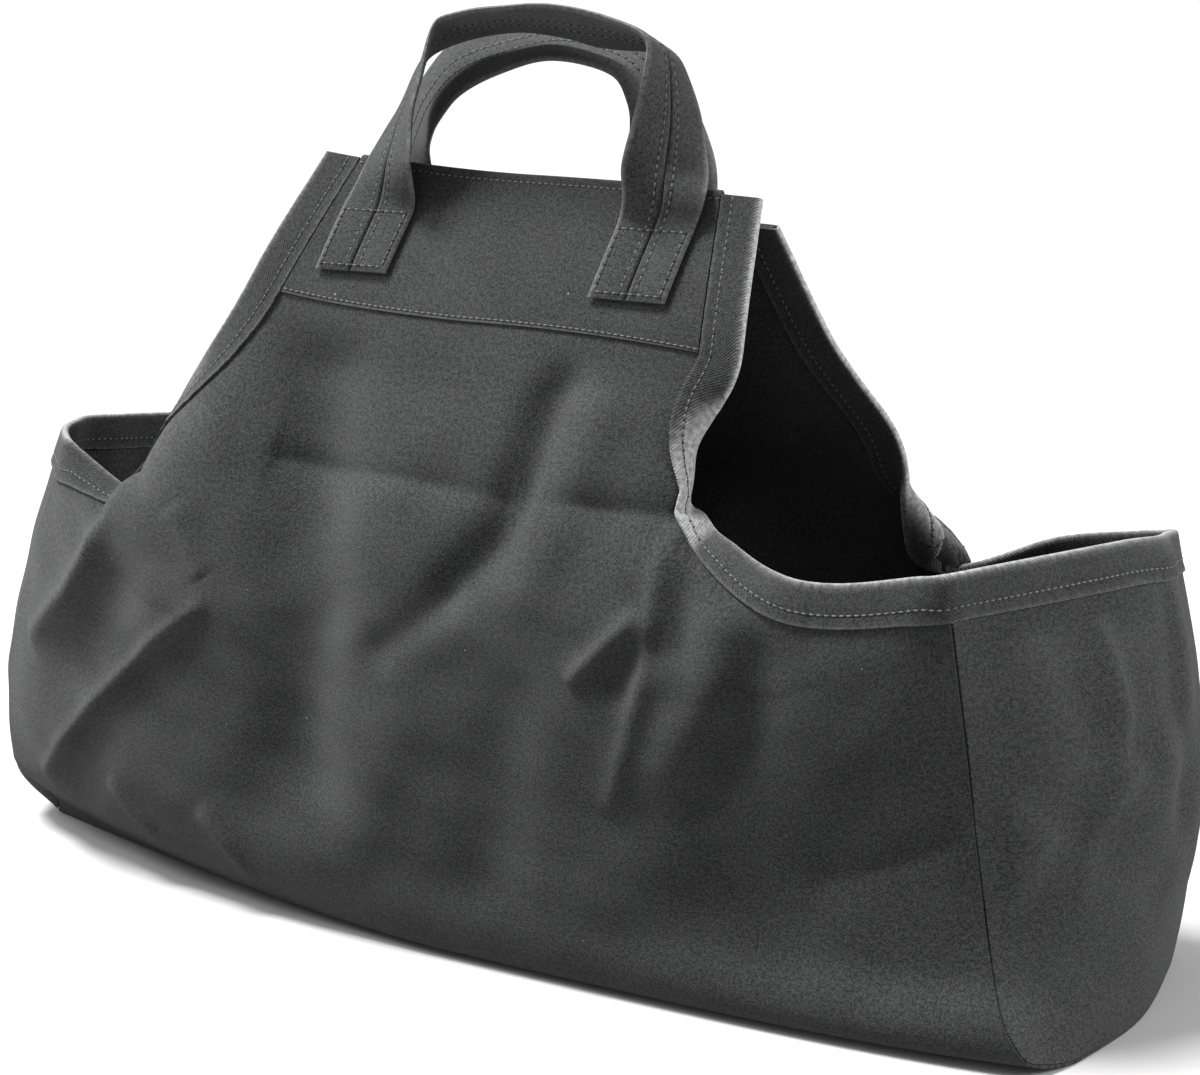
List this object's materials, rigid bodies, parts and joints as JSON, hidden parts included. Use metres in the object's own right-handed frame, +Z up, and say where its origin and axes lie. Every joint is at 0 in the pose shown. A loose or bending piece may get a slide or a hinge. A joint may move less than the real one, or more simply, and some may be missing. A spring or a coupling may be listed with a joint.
{
  "type": "log carrier",
  "caption": "Open canvas firewood bag: a sheet folded up as front, base and back, with sewn end walls, taped side openings and strap handles.",
  "frame": {"origin": "on the floor under the middle of the bag's box", "axes": "+X along the bag towards its wide end, +Y towards its back panel, +Z up"},
  "size_m": [0.6672, 0.2152, 0.4476],
  "materials": {
    "canvas": "matt charcoal-black woven canvas",
    "tape": "matt black twill tape",
    "strap": "matt black folded canvas strap"
  },
  "bodies": {
    "root": {"body_sheet": "canvas", "end_gusset_left": "canvas", "end_gusset_right": "canvas", "binding_left": "tape", "binding_right": "tape", "top_band_front": "canvas", "top_band_back": "canvas", "handle_front": "strap", "handle_back": "strap"}
  },
  "joints": []
}
